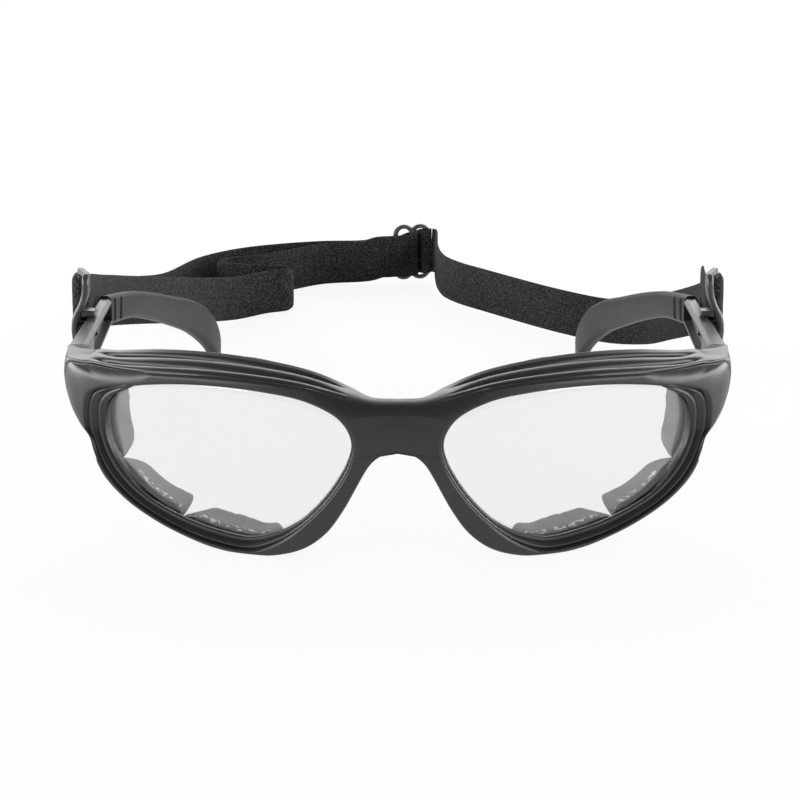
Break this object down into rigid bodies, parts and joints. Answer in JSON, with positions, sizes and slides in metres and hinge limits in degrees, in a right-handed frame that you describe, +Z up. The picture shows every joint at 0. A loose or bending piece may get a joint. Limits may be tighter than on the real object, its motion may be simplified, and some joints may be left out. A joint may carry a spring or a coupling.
{
  "type": "sports protective goggles",
  "caption": "Wrap-around padded sports glasses: matt black front with clear lenses, foam gaskets, folding temples and an elastic head strap with a length slider.",
  "frame": {"origin": "on the table, below the middle of the glasses without their strap", "axes": "+Z up from the table; the front faces -Y and the strap lies behind it; +X is the wearer's left"},
  "size_m": [0.1516, 0.2653, 0.0461],
  "materials": {
    "front": "satin black moulded nylon",
    "lens": "clear polished polycarbonate",
    "foam": "dark grey closed-cell foam",
    "tip": "soft dark grey",
    "clip": "semi-gloss black plastic",
    "strap": "black knitted elastic",
    "screw": "blackened steel"
  },
  "bodies": {
    "front": {"frame_front": "front", "left_lens": "lens", "right_lens": "lens", "left_foam_gasket": "foam", "right_foam_gasket": "foam", "left_hinge_screw": "screw", "right_hinge_screw": "screw", "right_strap_loop": "strap", "left_strap_strand": "strap"},
    "left_temple": {"left_temple_arm": "front", "left_temple_tip": "tip", "left_strap_clip": "clip"},
    "right_temple": {"right_temple_arm": "front", "right_temple_tip": "tip", "right_strap_clip": "clip"},
    "slider": {"strap_slider": "clip"}
  },
  "joints": [
    {"name": "left_temple_fold", "type": "hinge", "parent": "front", "child": "left_temple", "pos_m": [0.0687, -0.03639, 0.0301], "axis": [0, 0, 1], "range_deg": [0, 86], "deforming": ["left_strap_strand"]},
    {"name": "right_temple_fold", "type": "hinge", "parent": "front", "child": "right_temple", "pos_m": [-0.0687, -0.03639, 0.0301], "axis": [0, 0, -1], "range_deg": [0, 79], "deforming": ["right_strap_loop"]},
    {"name": "slider_slide", "type": "slide", "parent": "front", "child": "slider", "axis": [0.9781, 0.2079, 0], "range_m": [-0.008, 0.004], "deforming": ["right_strap_loop", "left_strap_strand"]}
  ]
}
